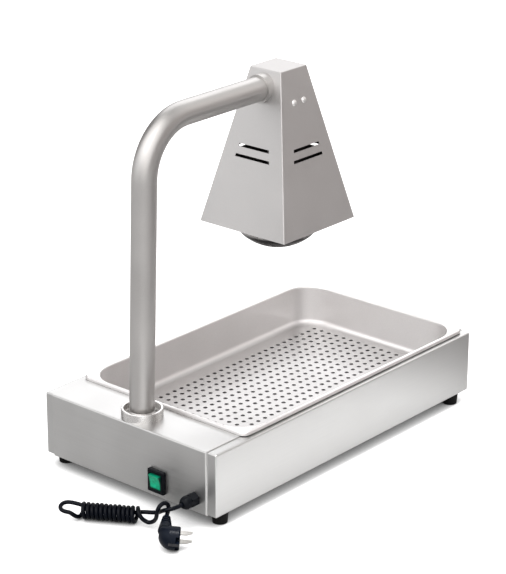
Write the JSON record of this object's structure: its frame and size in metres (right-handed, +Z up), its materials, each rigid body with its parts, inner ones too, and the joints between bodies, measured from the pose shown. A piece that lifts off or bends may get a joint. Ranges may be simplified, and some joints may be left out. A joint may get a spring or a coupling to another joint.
{
  "type": "fry warmer",
  "caption": "Countertop fry warmer: brushed steel base with a lift-out perforated pan, a rocker switch and a mains lead, under a heat lamp in a pyramid shade on a bent neck.",
  "frame": {"origin": "on the floor under the middle of the warmer, measured with its switch and without its cord", "axes": "+Z up, +Y to the rear along the pan, +X to the right seen from the control panel"},
  "size_m": [0.3525, 0.7294, 0.582],
  "materials": {
    "casing_steel": "fine satin brushed stainless sheet",
    "pan_steel": "drawn stainless, soft satin",
    "neck_steel": "satin stainless tube",
    "shade_steel": "satin brushed stainless sheet",
    "plated_steel": "bright zinc plate",
    "black_plastic": "moulded black plastic",
    "green_lens": "clear green moulding",
    "black_rubber": "matt rubber",
    "white_ceramic": "glazed ceramic, stood in by gloss plastic",
    "dark_glass": "dark red coated lamp glass",
    "cap_metal": "nickel finish screw cap",
    "brass_metal": "bare brass",
    "cord_black": "smooth black sheath",
    "plug_black": "moulded black plug",
    "blade_metal": "nickel plated blades",
    "brown_wire": "insulated conductor",
    "blue_wire": "insulated conductor",
    "earth_wire_sheath": "green and yellow insulation",
    "grey_wire": "heat proof sleeved conductor",
    "cream_plastic": "moulded terminal block"
  },
  "bodies": {
    "base": {"left_side_panel": "casing_steel", "right_side_panel": "casing_steel", "front_panel": "casing_steel", "rear_panel": "casing_steel", "bottom_plate": "casing_steel", "front_bulkhead": "casing_steel", "rubber_feet": "black_rubber", "foot_screws": "plated_steel", "foot_nuts": "plated_steel", "neck_tube": "neck_steel", "neck_collar": "neck_steel", "neck_backing_plate": "plated_steel", "neck_lock_nut": "plated_steel", "arm_ferrule": "neck_steel", "arm_lock_ring": "plated_steel", "lamp_shade": "shade_steel", "shade_rivets": "plated_steel", "lamp_bracket": "plated_steel", "lamp_holder": "white_ceramic", "holder_nipple": "brass_metal", "holder_nut": "brass_metal", "lamp_glass": "dark_glass", "lamp_cap": "cap_metal", "lamp_cable": "grey_wire", "switch_housing": "black_plastic", "switch_tags": "brass_metal", "gland_body": "black_plastic", "gland_dome_nut": "black_plastic", "gland_lock_nut": "black_plastic", "cord_inner_end": "cord_black", "live_wire": "brown_wire", "neutral_wire": "blue_wire", "earth_wire": "earth_wire_sheath", "switched_wires": "grey_wire", "earth_stud": "brass_metal", "terminal_block": "cream_plastic", "block_screws": "plated_steel", "cord_lead": "cord_black", "cord_hank": "cord_black", "cord_tail": "cord_black", "plug_body": "plug_black", "plug_blades": "blade_metal"},
    "pan": {"food_pan": "pan_steel"},
    "rocker": {"switch_rocker": "green_lens"}
  },
  "joints": [
    {"name": "pan_lift", "type": "slide", "parent": "base", "child": "pan", "axis": [0, 0, 1], "range_m": [0, 0.12]},
    {"name": "rocker_tilt", "type": "hinge", "parent": "base", "child": "rocker", "pos_m": [0.0604, -0.302, 0.0445], "axis": [-1, 0, 0], "range_deg": [0, 20]}
  ]
}
